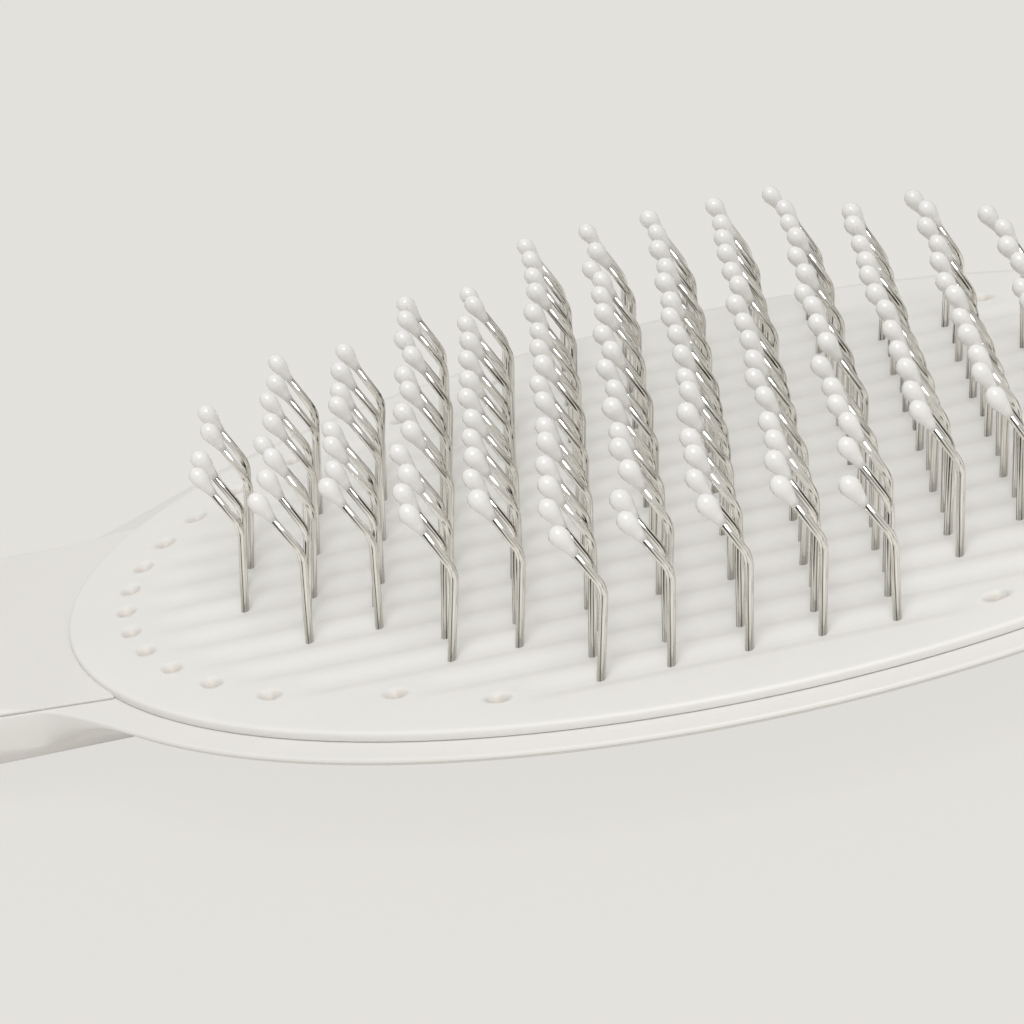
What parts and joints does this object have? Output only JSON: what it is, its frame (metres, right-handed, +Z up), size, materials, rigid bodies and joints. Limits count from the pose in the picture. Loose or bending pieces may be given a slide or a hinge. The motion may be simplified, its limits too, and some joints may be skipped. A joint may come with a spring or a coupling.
{
  "type": "pet grooming brush",
  "caption": "Oval-headed slicker brush for pets: bent steel wire pins with dipped white tips stand in rows on a grooved plate, on a shallow shell with a flat handle",
  "frame": {"origin": "middle of the brush's box, on the surface that it rests on, with the brush on its back", "axes": "+X from the handle to the head, +Y across the head, +Z up out of the pins"},
  "size_m": [0.188, 0.075, 0.0193],
  "materials": {
    "plate_plastic": "satin ivory-white moulded plastic",
    "shell_plastic": "satin ivory-white moulded plastic",
    "pin_steel": "drawn steel wire, bright and slightly warm",
    "tip_coating": "glossy white dipped coating"
  },
  "bodies": {
    "root": {"pin_plate": "plate_plastic", "back_shell": "shell_plastic", "handle_cover": "shell_plastic", "wires_col_01": "pin_steel", "tips_col_01": "tip_coating", "wires_col_02": "pin_steel", "tips_col_02": "tip_coating", "wires_col_03": "pin_steel", "tips_col_03": "tip_coating", "wires_col_04": "pin_steel", "tips_col_04": "tip_coating", "wires_col_05": "pin_steel", "tips_col_05": "tip_coating", "wires_col_06": "pin_steel", "tips_col_06": "tip_coating", "wires_col_07": "pin_steel", "tips_col_07": "tip_coating", "wires_col_08": "pin_steel", "tips_col_08": "tip_coating", "wires_col_09": "pin_steel", "tips_col_09": "tip_coating", "wires_col_10": "pin_steel", "tips_col_10": "tip_coating", "wires_col_11": "pin_steel", "tips_col_11": "tip_coating", "wires_col_12": "pin_steel", "tips_col_12": "tip_coating", "wires_col_13": "pin_steel", "tips_col_13": "tip_coating", "wires_col_14": "pin_steel", "tips_col_14": "tip_coating", "wires_col_15": "pin_steel", "tips_col_15": "tip_coating"}
  },
  "joints": []
}
